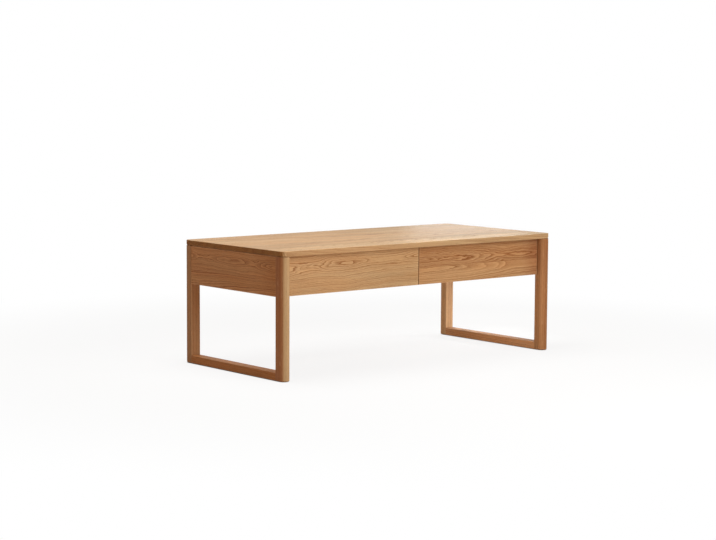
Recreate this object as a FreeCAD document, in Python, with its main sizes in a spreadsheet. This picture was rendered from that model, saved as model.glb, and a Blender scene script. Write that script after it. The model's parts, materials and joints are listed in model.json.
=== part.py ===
"""Oak coffee table with two drawers on full-extension ball-bearing slides.

Millimetres. X runs along the table, Y from the front to the back, Z up from the floor.
The origin is on the floor under the middle of the table. Every size is a cell of the
Sizes sheet, and every piece takes its sizes and its place from those cells.
"""
import FreeCAD, Part
import math
import os
import Sketcher

from FreeCAD import Placement, Rotation, Vector

SIZES = {
    # the whole table
    "table_length": 1200,
    "table_depth": 550,
    "table_height": 420,
    # the top: a board whose edge is rounded well in underneath
    "top_thickness": 18.5,
    "top_arris": 1.5,
    "top_under_round": 6,
    # legs with a half-round outer face, their pads, and the rails along the floor
    "leg_width": 36,
    "leg_depth": 39,
    "pad_diameter": 26,
    "pad_thickness": 2,
    "foot_rail_height": 26,
    "tenon_thickness": 12,
    "tenon_length": 22,
    "tenon_shoulder": 5,
    # panels under the top, with tongues let into the legs
    "apron_height": 129.5,
    "panel_thickness": 20,
    "end_panel_recess": 1,
    "face_recess": 28,
    "tongue_thickness": 8,
    "tongue_length": 9,
    "tongue_shoulder": 8,
    # eased edges and the room left in glued joints
    "arris": 1.5,
    "fine_arris": 0.8,
    "joint_room": 0.1,
    # front top rail, centre divider and slide battens
    "case_setback": 2,
    "top_rail_width": 60,
    "top_rail_thickness": 18,
    "rail_tenon_inset": 9,
    "rail_tenon_thickness": 8,
    "rail_tenon_length": 8,
    "divider_thickness": 20,
    "divider_lift": 12,
    "housing_depth": 6,
    "batten_margin": 7,
    # drawers
    "front_thickness": 20,
    "front_side_gap": 2,
    "front_centre_gap": 2.5,
    "front_top_gap": 2.5,
    "finger_bevel": 12,
    "box_wall": 12,
    "box_lift": 20,
    "box_top_room": 5.5,
    "box_rear_room": 24,
    "corner_rebate": 6,
    "bottom_thickness": 5,
    "bottom_lift": 8,
    "bottom_groove": 5,
    "rim_round": 3,
    # ball-bearing slides
    "slide_setback": 4,
    "slide_rear_room": 26,
    "slide_height": 45.5,
    "slide_thickness": 12.7,
    "slide_gauge": 1.2,
    "case_flange": 9.6,
    "middle_inset": 3.6,
    "middle_flange": 6.6,
    "drawer_flange": 7.3,
    "ball_diameter": 4,
    "ball_play": 0.3,
    "ball_pitch": 24,
    "ball_inset": 7.4,
    "cage_length": 200,
    "cage_width": 4.8,
    "cage_gauge": 0.8,
    # brackets and screws
    "bracket_leg": 25,
    "bracket_width": 20,
    "bracket_gauge": 2,
    "bracket_rail_room": 35,
    "rear_bracket_inner": 150,
    "rear_bracket_outer": 430,
    "screw_diameter": 4,
    "screw_head": 7.5,
    "screw_head_height": 1.6,
    "screw_bite": 9,
    "screw_room": 0.15,
    "sink_depth": 2.2,
    "screw_end_margin": 40,
    "batten_screw_margin": 6,
    "front_screw_margin": 70,
    "front_screw_edge": 20,
}

# sizes of what fits inside the case, from the case's own sizes and the room left around it
FITTED = {
    "box_height": "apron_height - box_lift - top_rail_thickness - box_top_room",
    "box_depth": "table_depth - 2 * face_recess - front_thickness - panel_thickness - box_rear_room",
    "slide_length": "box_depth - slide_setback - slide_rear_room",
    "batten_height": "box_height - 2 * batten_margin",
    "batten_screw_offset": "batten_height / 2 - batten_screw_margin",
    "front_screw_spread": "box_height - 2 * front_screw_edge",
    "rail_back": "table_depth / 2 - face_recess - front_thickness - case_setback - top_rail_width",
    "end_bracket_reach": "rail_back - bracket_rail_room - bracket_width / 2",
}

os.makedirs("parts", exist_ok=True)
doc = FreeCAD.newDocument("coffee_table")
sheet = doc.addObject("Spreadsheet::Sheet", "Sizes")
for row, (alias, number) in enumerate(SIZES.items(), start=1):
    sheet.set(f"A{row}", str(number))
    sheet.setAlias(f"A{row}", alias)
for row, (alias, expression) in enumerate(FITTED.items(), start=1):
    sheet.set(f"B{row}", f"={expression}")
    sheet.setAlias(f"B{row}", alias)
doc.recompute()

# places that several pieces share, as expressions on the sheet
HALF_LENGTH = "Sizes.table_length / 2"
HALF_DEPTH = "Sizes.table_depth / 2"
CASE_TOP = "(Sizes.table_height - Sizes.top_thickness)"
APRON_LOW = f"({CASE_TOP} - Sizes.apron_height)"
LEG_INNER_X = "(Sizes.table_length / 2 - Sizes.leg_width)"
LEG_INNER_Y = "(Sizes.table_depth / 2 - Sizes.leg_depth)"
PANEL_OUTER = "(Sizes.table_length / 2 - Sizes.end_panel_recess)"
PANEL_INNER = f"({PANEL_OUTER} - Sizes.panel_thickness)"
FACE = "(Sizes.table_depth / 2 - Sizes.face_recess)"
REAR_INNER = f"({FACE} - Sizes.panel_thickness)"
FRONT_BACK = f"({FACE} - Sizes.front_thickness)"
CASE_FRONT = f"({FRONT_BACK} - Sizes.case_setback)"
DIVIDER_FACE = "(Sizes.divider_thickness / 2)"
RAIL_LOW = f"({CASE_TOP} - Sizes.top_rail_thickness)"
RAIL_BACK = "Sizes.rail_back"
BOX_LOW = f"({APRON_LOW} + Sizes.box_lift)"
BOX_TOP = f"({BOX_LOW} + Sizes.box_height)"
BOX_OUTER = f"({LEG_INNER_X} - Sizes.slide_thickness)"
BOX_INNER = f"({DIVIDER_FACE} + Sizes.slide_thickness)"
BOX_BACK = f"(Sizes.box_depth - {FRONT_BACK})"
SLIDE_LEVEL = f"({BOX_LOW} + Sizes.box_height / 2)"
SLIDE_FRONT = f"(Sizes.slide_setback - {FRONT_BACK})"
SLIDE_BACK = f"({SLIDE_FRONT} + Sizes.slide_length)"
BOTTOM_LEVEL = f"({BOX_LOW} + Sizes.bottom_lift)"
RACE_STEP = "(Sizes.slide_gauge + Sizes.ball_diameter + 2 * Sizes.ball_play)"
CASE_HALF = "(Sizes.slide_height / 2)"
MIDDLE_HALF = f"({CASE_HALF} - {RACE_STEP})"
DRAWER_HALF = f"({MIDDLE_HALF} - {RACE_STEP})"
PILOT_DEPTH = "(Sizes.screw_bite + Sizes.screw_room)"
HOLE_RADIUS = "(Sizes.screw_diameter / 2 + Sizes.screw_room)"
HEAD_RADIUS = "(Sizes.screw_head / 2 + Sizes.screw_room)"

SIDES = {"left": -1, "right": 1}
TURNS = {
    "+x": Rotation(Vector(0, 1, 0), 90),
    "-x": Rotation(Vector(0, 1, 0), -90),
    "+y": Rotation(Vector(1, 0, 0), -90),
    "-y": Rotation(Vector(1, 0, 0), 90),
    "+z": Rotation(),
}
nodes = []


def value(expression):
    """The number that an expression on the sheet gives."""
    return float(sheet.evalExpression(expression))


def point(place):
    """A place, given as three expressions, as a vector."""
    return Vector(*(value(expression) for expression in place))


def mirrored(side, low, high):
    """The span low..high measured outwards from the middle, on the given side."""
    return (low, high) if side > 0 else (f"-({high})", f"-({low})")


def across(reach):
    """The span from -reach to +reach."""
    return f"-({reach})", reach


def about(middle, width):
    """The span of the given width about a middle."""
    return f"{middle} - ({width}) / 2", f"{middle} + ({width}) / 2"


def new_body(label):
    body = doc.addObject("PartDesign::Body", label)
    body.Label = label
    nodes.append(body)
    return body


def block(body, kind, name, x, y, z):
    """A box of the body, added or cut away, between the spans x, y and z."""
    feature = body.newObject(f"PartDesign::{kind}Box", name)
    for size, axis, (low, high) in zip(("Length", "Width", "Height"), "xyz", (x, y, z)):
        feature.setExpression(size, f"({high}) - ({low})")
        feature.setExpression(f"Placement.Base.{axis}", low)
    return feature


def add(body, name, x, y, z):
    return block(body, "Additive", name, x, y, z)


def cut(body, name, x, y, z):
    return block(body, "Subtractive", name, x, y, z)


def drill(body, name, place, turn, radius, depth):
    """A round hole that starts at a place and runs along one of the turns."""
    hole = body.newObject("PartDesign::SubtractiveCylinder", name)
    hole.Placement = Placement(Vector(), TURNS[turn])
    hole.setExpression("Radius", radius)
    hole.setExpression("Height", depth)
    for axis, expression in zip("xyz", place):
        hole.setExpression(f"Placement.Base.{axis}", expression)


def round_edges(body, name, radius, wanted, kind="Fillet", size="Radius"):
    """Round or bevel the edges of the body's last feature that the test picks."""
    doc.recompute()
    base = body.Tip
    picked = [f"Edge{number}" for number, edge in enumerate(base.Shape.Edges, start=1) if wanted(edge)]
    feature = body.newObject(f"PartDesign::{kind}", name)
    feature.Base = (base, picked)
    feature.setExpression(size, radius)


def runs_along(axis):
    """A test for straight edges that run along x, y or z."""
    others = [index for index in range(3) if "xyz"[index] != axis]

    def test(edge):
        first, last = edge.Vertexes[0].Point, edge.Vertexes[-1].Point
        return all(math.isclose(first[index], last[index], abs_tol=1e-4) for index in others)
    return test


def lies_at(axis, level):
    """A test for edges that lie wholly in the plane where x, y or z has this level."""
    index = "xyz".index(axis)
    height = value(level)
    return lambda edge: all(math.isclose(vertex.Point[index], height, abs_tol=1e-4)
                            for vertex in edge.Vertexes)


def both(first, second):
    return lambda edge: first(edge) and second(edge)


def board(label, x, y, z, grain, arris="Sizes.arris"):
    """A plain board whose four edges along its grain are eased."""
    body = new_body(label)
    add(body, "board", x, y, z)
    round_edges(body, "eased", arris, runs_along(grain))
    return body


# screw places: each is used for the holes in the pieces and for the screws themselves
def slide_screw_rows():
    """Distances along a slide, from its front end, at which it is screwed down."""
    margin = "Sizes.screw_end_margin"
    return margin, "Sizes.slide_length / 2", f"Sizes.slide_length - {margin}"


def slide_screws(side, inner):
    """Places on the face that carries one slide: the batten, or the divider."""
    face = DIVIDER_FACE if inner else LEG_INNER_X
    return [(f"{side} * {face}", f"{SLIDE_FRONT} + {row}", SLIDE_LEVEL) for row in slide_screw_rows()]


def box_screws(side, inner):
    """Places on the outer face of one drawer side."""
    face = BOX_INNER if inner else BOX_OUTER
    return [(f"{side} * {face}", f"{SLIDE_FRONT} + {row}", SLIDE_LEVEL) for row in slide_screw_rows()]


def batten_screws(side):
    """Places on the inner face of a slide batten, above and below the slide."""
    margin = "Sizes.screw_end_margin"
    rows = (f"{SLIDE_FRONT} + {margin}", f"{SLIDE_BACK} - {margin}")
    levels = (f"{SLIDE_LEVEL} - Sizes.batten_screw_offset", f"{SLIDE_LEVEL} + Sizes.batten_screw_offset")
    return [(f"{side} * {LEG_INNER_X}", row, level) for row in rows for level in levels]


def rail_screws():
    """Places on the underside of the front top rail."""
    middle = f"-({CASE_FRONT}) + Sizes.top_rail_width / 2"
    reaches = ("Sizes.rear_bracket_outer", "Sizes.rear_bracket_inner")
    return [(f"{sign} * {reach}", middle, RAIL_LOW) for sign in (-1, 1) for reach in reaches]


def front_screws(side):
    """Places on the inner face of a drawer box front."""
    inner_edge = f"({BOX_INNER} + Sizes.front_screw_margin)"
    outer_edge = f"({BOX_OUTER} - Sizes.front_screw_margin)"
    depth = f"Sizes.box_wall - {FRONT_BACK}"
    levels = [f"{SLIDE_LEVEL} + {sign} * Sizes.front_screw_spread / 2" for sign in (-1, 1)]
    return [(f"{side} * {edge}", depth, level) for edge in (inner_edge, outer_edge) for level in levels]


def bracket_places():
    """Each bracket's corner under the top, as a place and the way its foot points."""
    places = []
    for side, way in ((-1, "+x"), (1, "-x")):
        for sign in (-1, 1):
            places.append(((f"{side} * {PANEL_INNER}", f"{sign} * Sizes.end_bracket_reach", CASE_TOP), way))
    for sign in (-1, 1):
        for reach in ("Sizes.rear_bracket_inner", "Sizes.rear_bracket_outer"):
            places.append(((f"{sign} * {reach}", REAR_INNER, CASE_TOP), "-y"))
    return places


WAY_AXIS = {"+x": (1, 0), "-x": (-1, 0), "-y": (0, -1)}
BACKWARDS = {"+x": "-x", "-x": "+x", "-y": "+y"}


def bracket_screw(place, way, upright):
    """Where a bracket's screw enters the wood: the panel, or the top above."""
    x, y, z = place
    middle = "(Sizes.bracket_leg + Sizes.bracket_gauge) / 2"
    if upright:
        along, aside = WAY_AXIS[way]
        return f"{x} + {along} * {middle}", f"{y} + {aside} * {middle}", z
    return x, y, f"{z} - {middle}"


def make_top():
    """The top: rounded corners over the legs, and an edge rounded in underneath."""
    body = new_body("table_top")
    add(body, "board", across(HALF_LENGTH), across(HALF_DEPTH), (CASE_TOP, "Sizes.table_height"))
    round_edges(body, "corners", "Sizes.leg_width / 2", runs_along("z"))
    round_edges(body, "upper_arris", "Sizes.top_arris", lies_at("z", "Sizes.table_height"))
    round_edges(body, "under_round", "Sizes.top_under_round", lies_at("z", CASE_TOP))
    for number, (place, way) in enumerate(bracket_places(), start=1):
        start = bracket_screw(place, way, True)
        drill(body, f"bracket_hole_{number}", start, "+z", HOLE_RADIUS, PILOT_DEPTH)
    for number, (x, y, z) in enumerate(rail_screws(), start=1):
        drill(body, f"rail_hole_{number}", (x, y, CASE_TOP), "+z", HOLE_RADIUS, PILOT_DEPTH)


def leg_section(body, side, end):
    """The leg's plan: a straight back and a half-round nose towards the front or rear."""
    sketch = body.newObject("Sketcher::SketchObject", "section")
    plane = next(item for item in body.Origin.OriginFeatures if item.Role == "XY_Plane")
    sketch.AttachmentSupport = [(plane, "")]
    sketch.MapMode = "FlatFace"
    sketch.setExpression("AttachmentOffset.Base.z", "Sizes.pad_thickness")
    low, high = mirrored(side, LEG_INNER_X, HALF_LENGTH)
    first, last = (low, high) if end < 0 else (high, low)
    back = f"{end} * {LEG_INNER_Y}"
    centre = f"{end} * ({HALF_DEPTH} - Sizes.leg_width / 2)"
    x_first, x_last, y_back, y_centre = (value(item) for item in (first, last, back, centre))
    start = math.pi if end < 0 else 0
    middle = Vector((x_first + x_last) / 2, y_centre, 0)
    nose = Part.Circle(middle, Vector(0, 0, 1), value("Sizes.leg_width / 2"))
    sketch.addGeometry(Part.LineSegment(Vector(x_first, y_back, 0), Vector(x_first, y_centre, 0)))
    sketch.addGeometry(Part.ArcOfCircle(nose, start, start + math.pi))
    sketch.addGeometry(Part.LineSegment(Vector(x_last, y_centre, 0), Vector(x_last, y_back, 0)))
    sketch.addGeometry(Part.LineSegment(Vector(x_last, y_back, 0), Vector(x_first, y_back, 0)))
    side_in, arc, side_out, back_line = range(4)
    for rule in (("Tangent", side_in, 2, arc, 1), ("Tangent", arc, 2, side_out, 1),
                 ("Coincident", side_out, 2, back_line, 1), ("Coincident", back_line, 2, side_in, 1),
                 ("Vertical", side_in), ("Vertical", side_out), ("Horizontal", back_line)):
        sketch.addConstraint(Sketcher.Constraint(*rule))
    for kind, line, spot, expression in (("DistanceX", side_in, 1, first), ("DistanceY", side_in, 1, back),
                                         ("DistanceX", side_out, 2, last), ("DistanceY", arc, 3, centre)):
        number = sketch.addConstraint(Sketcher.Constraint(kind, -1, 1, line, spot, value(expression)))
        sketch.setExpression(f"Constraints[{number}]", expression)
    return sketch


def make_leg(label, side, end):
    """One leg, with a mortise for the foot rail and grooves for the panels' tongues."""
    body = new_body(label)
    sketch = leg_section(body, side, end)
    pad = body.newObject("PartDesign::Pad", "post")
    pad.Profile = sketch
    pad.setExpression("Length", f"{CASE_TOP} - Sizes.pad_thickness")
    back = both(runs_along("z"), lies_at("y", f"{end} * {LEG_INNER_Y}"))
    round_edges(body, "back_arrises", "Sizes.fine_arris", back)
    round_edges(body, "foot_arris", "Sizes.arris", lies_at("z", "Sizes.pad_thickness"))
    round_edges(body, "head_arris", "Sizes.fine_arris", lies_at("z", CASE_TOP))
    rail_low = "Sizes.pad_thickness + Sizes.tenon_shoulder - Sizes.joint_room"
    rail_high = "Sizes.pad_thickness + Sizes.foot_rail_height - Sizes.tenon_shoulder + Sizes.joint_room"
    cut(body, "rail_mortise",
        mirrored(side, *about(f"{HALF_LENGTH} - Sizes.leg_width / 2",
                              "Sizes.tenon_thickness + 2 * Sizes.joint_room")),
        mirrored(end, LEG_INNER_Y, f"{LEG_INNER_Y} + Sizes.tenon_length + Sizes.joint_room"),
        (rail_low, rail_high))
    groove = "Sizes.tongue_thickness + 2 * Sizes.joint_room"
    depth = "Sizes.tongue_length + Sizes.joint_room"
    levels = (f"{APRON_LOW} + Sizes.tongue_shoulder - Sizes.joint_room", CASE_TOP)
    cut(body, "end_panel_groove",
        mirrored(side, *about(f"{PANEL_OUTER} - Sizes.panel_thickness / 2", groove)),
        mirrored(end, LEG_INNER_Y, f"{LEG_INNER_Y} + {depth}"), levels)
    if end > 0:
        cut(body, "rear_panel_groove", mirrored(side, LEG_INNER_X, f"{LEG_INNER_X} + {depth}"),
            about(f"{FACE} - Sizes.panel_thickness / 2", groove), levels)


def make_pad(label, side, end):
    """A round felt pad under the middle of a leg."""
    pad = doc.addObject("Part::Cylinder", label)
    pad.Label = label
    pad.setExpression("Radius", "Sizes.pad_diameter / 2")
    pad.setExpression("Height", "Sizes.pad_thickness")
    pad.setExpression("Placement.Base.x", f"{side} * ({HALF_LENGTH} - Sizes.leg_width / 2)")
    pad.setExpression("Placement.Base.y", f"{end} * ({HALF_DEPTH} - Sizes.leg_depth / 2)")
    nodes.append(pad)


def make_foot_rail(label, side):
    """A rail along the floor between two legs, tenoned into both."""
    low, high = "Sizes.pad_thickness", "Sizes.pad_thickness + Sizes.foot_rail_height"
    body = board(label, mirrored(side, LEG_INNER_X, HALF_LENGTH), across(LEG_INNER_Y), (low, high), "y")
    add(body, "tenons",
        mirrored(side, *about(f"{HALF_LENGTH} - Sizes.leg_width / 2", "Sizes.tenon_thickness")),
        across(f"{LEG_INNER_Y} + Sizes.tenon_length"),
        (f"{low} + Sizes.tenon_shoulder", f"{high} - Sizes.tenon_shoulder"))


def make_end_panel(label, side):
    """A panel between two legs, with tongues at both ends and a mortise for the front top rail."""
    body = board(label, mirrored(side, PANEL_INNER, PANEL_OUTER), across(LEG_INNER_Y),
                 (APRON_LOW, CASE_TOP), "y")
    add(body, "tongues",
        mirrored(side, *about(f"{PANEL_OUTER} - Sizes.panel_thickness / 2", "Sizes.tongue_thickness")),
        across(f"{LEG_INNER_Y} + Sizes.tongue_length"), (f"{APRON_LOW} + Sizes.tongue_shoulder", CASE_TOP))
    room = "Sizes.joint_room"
    cut(body, "rail_mortise",
        mirrored(side, PANEL_INNER, f"{PANEL_INNER} + Sizes.rail_tenon_length + {room}"),
        (f"-({CASE_FRONT}) + Sizes.rail_tenon_inset - {room}",
         f"-({RAIL_BACK}) - Sizes.rail_tenon_inset + {room}"),
        about(f"({CASE_TOP} - Sizes.top_rail_thickness / 2)", f"Sizes.rail_tenon_thickness + 2 * {room}"))
    outwards = "+x" if side > 0 else "-x"
    for number, (x, y, z) in enumerate(batten_screws(side), start=1):
        start = (f"{side} * {PANEL_INNER}", y, z)
        drill(body, f"batten_hole_{number}", start, outwards, HOLE_RADIUS, PILOT_DEPTH)
    for number, (place, way) in enumerate(bracket_places(), start=1):
        if BACKWARDS[way] == outwards:
            start = bracket_screw(place, way, False)
            drill(body, f"bracket_hole_{number}", start, outwards, HOLE_RADIUS, PILOT_DEPTH)


def make_rear_panel():
    """The panel between the rear legs, with a housing for the divider's rear end."""
    body = board("rear_panel", across(LEG_INNER_X), (REAR_INNER, FACE), (APRON_LOW, CASE_TOP), "x")
    add(body, "tongues", across(f"{LEG_INNER_X} + Sizes.tongue_length"),
        about(f"{FACE} - Sizes.panel_thickness / 2", "Sizes.tongue_thickness"),
        (f"{APRON_LOW} + Sizes.tongue_shoulder", CASE_TOP))
    room = "Sizes.joint_room"
    cut(body, "housing", across(f"{DIVIDER_FACE} + {room}"),
        (REAR_INNER, f"{REAR_INNER} + Sizes.housing_depth + {room}"),
        (f"{APRON_LOW} + Sizes.divider_lift - {room}", CASE_TOP))
    for number, (place, way) in enumerate(bracket_places(), start=1):
        if way == "-y":
            start = bracket_screw(place, way, False)
            drill(body, f"bracket_hole_{number}", start, "+y", HOLE_RADIUS, PILOT_DEPTH)


def make_top_rail():
    """A flat rail under the top, just behind the drawer fronts, tenoned into the end panels."""
    depth = (f"-({CASE_FRONT})", f"-({RAIL_BACK})")
    body = board("front_top_rail", across(PANEL_INNER), depth, (RAIL_LOW, CASE_TOP), "x", "Sizes.fine_arris")
    add(body, "tenons", across(f"{PANEL_INNER} + Sizes.rail_tenon_length"),
        (f"{depth[0]} + Sizes.rail_tenon_inset", f"{depth[1]} - Sizes.rail_tenon_inset"),
        about(f"({CASE_TOP} - Sizes.top_rail_thickness / 2)", "Sizes.rail_tenon_thickness"))
    for number, place in enumerate(rail_screws(), start=1):
        drill(body, f"screw_hole_{number}", place, "+z", HOLE_RADIUS, "Sizes.top_rail_thickness")
        drill(body, f"head_sink_{number}", place, "+z", HEAD_RADIUS, "Sizes.sink_depth")


def make_divider():
    """The upright board between the drawers, notched under the front top rail."""
    rear = f"{REAR_INNER} + Sizes.housing_depth"
    body = new_body("centre_divider")
    add(body, "board", across(DIVIDER_FACE), (f"-({CASE_FRONT})", rear),
        (f"{APRON_LOW} + Sizes.divider_lift", CASE_TOP))
    lower = both(runs_along("y"), lies_at("z", f"{APRON_LOW} + Sizes.divider_lift"))
    round_edges(body, "eased", "Sizes.fine_arris", lower)
    cut(body, "rail_notch", across(DIVIDER_FACE), (f"-({CASE_FRONT})", f"-({RAIL_BACK}) + Sizes.joint_room"),
        (f"{RAIL_LOW} - Sizes.joint_room", CASE_TOP))
    for name, side in SIDES.items():
        inwards = "-x" if side > 0 else "+x"
        for number, place in enumerate(slide_screws(side, True), start=1):
            drill(body, f"{name}_slide_hole_{number}", place, inwards, HOLE_RADIUS, "Sizes.screw_bite")


def make_batten(label, side):
    """A batten that brings the end panel level with the leg's inner face, to carry a slide."""
    body = board(label, mirrored(side, LEG_INNER_X, PANEL_INNER), (SLIDE_FRONT, SLIDE_BACK),
                 about(SLIDE_LEVEL, "Sizes.batten_height"), "y", "Sizes.fine_arris")
    outwards = "+x" if side > 0 else "-x"
    for number, place in enumerate(batten_screws(side), start=1):
        drill(body, f"screw_hole_{number}", place, outwards, HOLE_RADIUS, f"{PANEL_INNER} - {LEG_INNER_X}")
        drill(body, f"head_sink_{number}", place, outwards, HEAD_RADIUS, "Sizes.sink_depth")
    for number, place in enumerate(slide_screws(side, False), start=1):
        drill(body, f"slide_hole_{number}", place, outwards, HOLE_RADIUS, PILOT_DEPTH)


def make_drawer_front(label, side):
    """A drawer front without a handle, bevelled behind its lower edge for the fingers."""
    body = new_body(label)
    add(body, "board", mirrored(side, "Sizes.front_centre_gap / 2", f"{LEG_INNER_X} - Sizes.front_side_gap"),
        (f"-({FACE})", f"-({FRONT_BACK})"), (APRON_LOW, f"{CASE_TOP} - Sizes.front_top_gap"))
    lower_back = both(lies_at("z", APRON_LOW), lies_at("y", f"-({FRONT_BACK})"))
    round_edges(body, "finger_bevel", "Sizes.finger_bevel", lower_back, "Chamfer", "Size")
    round_edges(body, "face_arris", "Sizes.arris", lies_at("y", f"-({FACE})"))
    for number, (x, y, z) in enumerate(front_screws(side), start=1):
        drill(body, f"screw_hole_{number}", (x, f"-({FRONT_BACK})", z), "-y", HOLE_RADIUS, PILOT_DEPTH)


def bottom_groove():
    """The level of the groove that holds a drawer bottom."""
    room = "Sizes.joint_room"
    return f"{BOTTOM_LEVEL} - {room}", f"{BOTTOM_LEVEL} + Sizes.bottom_thickness + {room}"


def make_box_side(label, side, inner):
    """A drawer side, rebated at both ends for the box front and back and grooved for the bottom."""
    if inner:
        outer_face, inner_face = BOX_INNER, f"({BOX_INNER} + Sizes.box_wall)"
        rebate = (f"{inner_face} - Sizes.corner_rebate", inner_face)
        groove = (f"{inner_face} - Sizes.bottom_groove", inner_face)
        span = (outer_face, inner_face)
    else:
        outer_face, inner_face = BOX_OUTER, f"({BOX_OUTER} - Sizes.box_wall)"
        rebate = (inner_face, f"{inner_face} + Sizes.corner_rebate")
        groove = (inner_face, f"{inner_face} + Sizes.bottom_groove")
        span = (inner_face, outer_face)
    front, levels = f"-({FRONT_BACK})", (BOX_LOW, BOX_TOP)
    body = new_body(label)
    add(body, "board", mirrored(side, *span), (front, BOX_BACK), levels)
    round_edges(body, "rim", "Sizes.rim_round", both(runs_along("y"), lies_at("z", BOX_TOP)))
    cut(body, "front_rebate", mirrored(side, *rebate), (front, f"{front} + Sizes.box_wall"), levels)
    cut(body, "back_rebate", mirrored(side, *rebate), (f"{BOX_BACK} - Sizes.box_wall", BOX_BACK), levels)
    cut(body, "bottom_groove", mirrored(side, *groove), (front, BOX_BACK), bottom_groove())
    inwards = "+x" if (side > 0) == inner else "-x"
    for number, place in enumerate(box_screws(side, inner), start=1):
        drill(body, f"slide_hole_{number}", place, inwards, HOLE_RADIUS, PILOT_DEPTH)


def box_inside():
    """The span between the inner faces of a drawer's sides."""
    return f"{BOX_INNER} + Sizes.box_wall", f"{BOX_OUTER} - Sizes.box_wall"


def make_box_end(label, side, at_front):
    """A drawer box front or back, let into the rebates of the sides and grooved for the bottom."""
    low, high = box_inside()
    span = mirrored(side, f"{low} - Sizes.corner_rebate", f"{high} + Sizes.corner_rebate")
    front = f"-({FRONT_BACK})" if at_front else f"{BOX_BACK} - Sizes.box_wall"
    back = f"{front} + Sizes.box_wall"
    body = new_body(label)
    add(body, "board", span, (front, back), (BOX_LOW, BOX_TOP))
    inner_face = back if at_front else front
    rim = both(runs_along("x"), both(lies_at("z", BOX_TOP), lies_at("y", inner_face)))
    round_edges(body, "rim", "Sizes.rim_round", rim)
    groove = (front, f"{front} + Sizes.bottom_groove")
    if at_front:
        groove = (f"{back} - Sizes.bottom_groove", back)
    cut(body, "bottom_groove", span, groove, bottom_groove())
    if at_front:
        for number, place in enumerate(front_screws(side), start=1):
            drill(body, f"screw_hole_{number}", place, "-y", HOLE_RADIUS, "Sizes.box_wall")


def make_box_bottom(label, side):
    """A thin drawer bottom in the grooves of the box."""
    low, high = box_inside()
    reach = "Sizes.bottom_groove - Sizes.joint_room"
    front = f"-({FRONT_BACK}) + Sizes.box_wall"
    body = new_body(label)
    add(body, "sheet", mirrored(side, f"{low} - ({reach})", f"{high} + {reach}"),
        (f"{front} - ({reach})", f"{BOX_BACK} - Sizes.box_wall + {reach}"),
        (BOTTOM_LEVEL, f"{BOTTOM_LEVEL} + Sizes.bottom_thickness"))


def channel_outline(web, tip, half):
    """The C of a slide channel: distances from the case, and half its height."""
    back = f"{web} + Sizes.slide_gauge" if value(tip) > value(web) else f"{web} - Sizes.slide_gauge"
    inside = f"{half} - Sizes.slide_gauge"
    return [(web, f"-({half})"), (tip, f"-({half})"), (tip, f"-({inside})"), (back, f"-({inside})"),
            (back, inside), (tip, inside), (tip, half), (web, half)]


def make_channel(label, face, way, web, tip, half, screwed):
    """A steel slide channel. Its C is drawn across the slide and runs back from the slide's front end."""
    body = new_body(label)
    body.setExpression("Placement.Base.x", face)
    body.setExpression("Placement.Base.y", SLIDE_FRONT)
    body.setExpression("Placement.Base.z", SLIDE_LEVEL)
    sketch = body.newObject("Sketcher::SketchObject", "section")
    plane = next(item for item in body.Origin.OriginFeatures if item.Role == "XZ_Plane")
    sketch.AttachmentSupport = [(plane, "")]
    sketch.MapMode = "FlatFace"
    corners = [(f"{way} * ({reach})", level) for reach, level in channel_outline(web, tip, half)]
    spots = [Vector(value(x), value(z), 0) for x, z in corners]
    for number, spot in enumerate(spots):
        sketch.addGeometry(Part.LineSegment(spot, spots[(number + 1) % len(spots)]))
    for number, (x, z) in enumerate(corners):
        following = (number + 1) % len(spots)
        sketch.addConstraint(Sketcher.Constraint("Coincident", number, 2, following, 1))
        for kind, expression in (("DistanceX", x), ("DistanceY", z)):
            rule = sketch.addConstraint(Sketcher.Constraint(kind, -1, 1, number, 1, value(expression)))
            sketch.setExpression(f"Constraints[{rule}]", expression)
    pad = body.newObject("PartDesign::Pad", "channel")
    pad.Profile = sketch
    pad.Reversed = True
    pad.setExpression("Length", "Sizes.slide_length")
    if screwed:
        low = "0" if value(tip) > value(web) else "Sizes.slide_thickness - Sizes.slide_gauge"
        start = low if way > 0 else f"-({low}) - Sizes.slide_gauge"
        for number, row in enumerate(slide_screw_rows(), start=1):
            drill(body, f"screw_hole_{number}", (start, row, "0"), "+x", HOLE_RADIUS, "Sizes.slide_gauge")


def make_slide(drawer, side, name, inner):
    """The three channels of one slide, from the case to the drawer."""
    face = f"{side} * {DIVIDER_FACE if inner else LEG_INNER_X}"
    way = side if inner else -side
    middle_tip = "Sizes.middle_inset + Sizes.middle_flange"
    drawer_web = "Sizes.slide_thickness"
    drawer_tip = f"{drawer_web} - Sizes.drawer_flange"
    label = f"{drawer}_{name}"
    make_channel(f"{label}_case_channel", face, way, "0", "Sizes.case_flange", CASE_HALF, True)
    make_channel(f"{label}_middle_channel", face, way, "Sizes.middle_inset", middle_tip, MIDDLE_HALF, False)
    make_channel(f"{label}_drawer_channel", face, way, drawer_web, drawer_tip, DRAWER_HALF, True)


def group(label, solids):
    """Loose pieces of one kind that share a node."""
    node = doc.addObject("Part::Feature", label)
    node.Label = label
    node.Shape = Part.makeCompound(solids)
    nodes.append(node)


def ball_row(start, centre):
    """One ball cage, a strip along the slide with a hole for each ball, and its balls."""
    length, width = value("Sizes.cage_length"), value("Sizes.cage_width")
    gauge, pitch = value("Sizes.cage_gauge"), value("Sizes.ball_pitch")
    radius, play = value("Sizes.ball_diameter / 2"), value("Sizes.ball_play")
    count = int((length - 2 * radius) // pitch)
    strip = Part.makeBox(width, length, gauge, Vector(centre.x - width / 2, start, centre.z - gauge / 2))
    first = start + (length - (count - 1) * pitch) / 2
    spots = [Vector(centre.x, first + number * pitch, centre.z) for number in range(count)]
    for spot in spots:
        strip = strip.cut(Part.makeCylinder(radius + play / 2, 2 * gauge, spot - Vector(0, 0, gauge)))
    return [strip] + [Part.makeSphere(radius, spot) for spot in spots]


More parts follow.
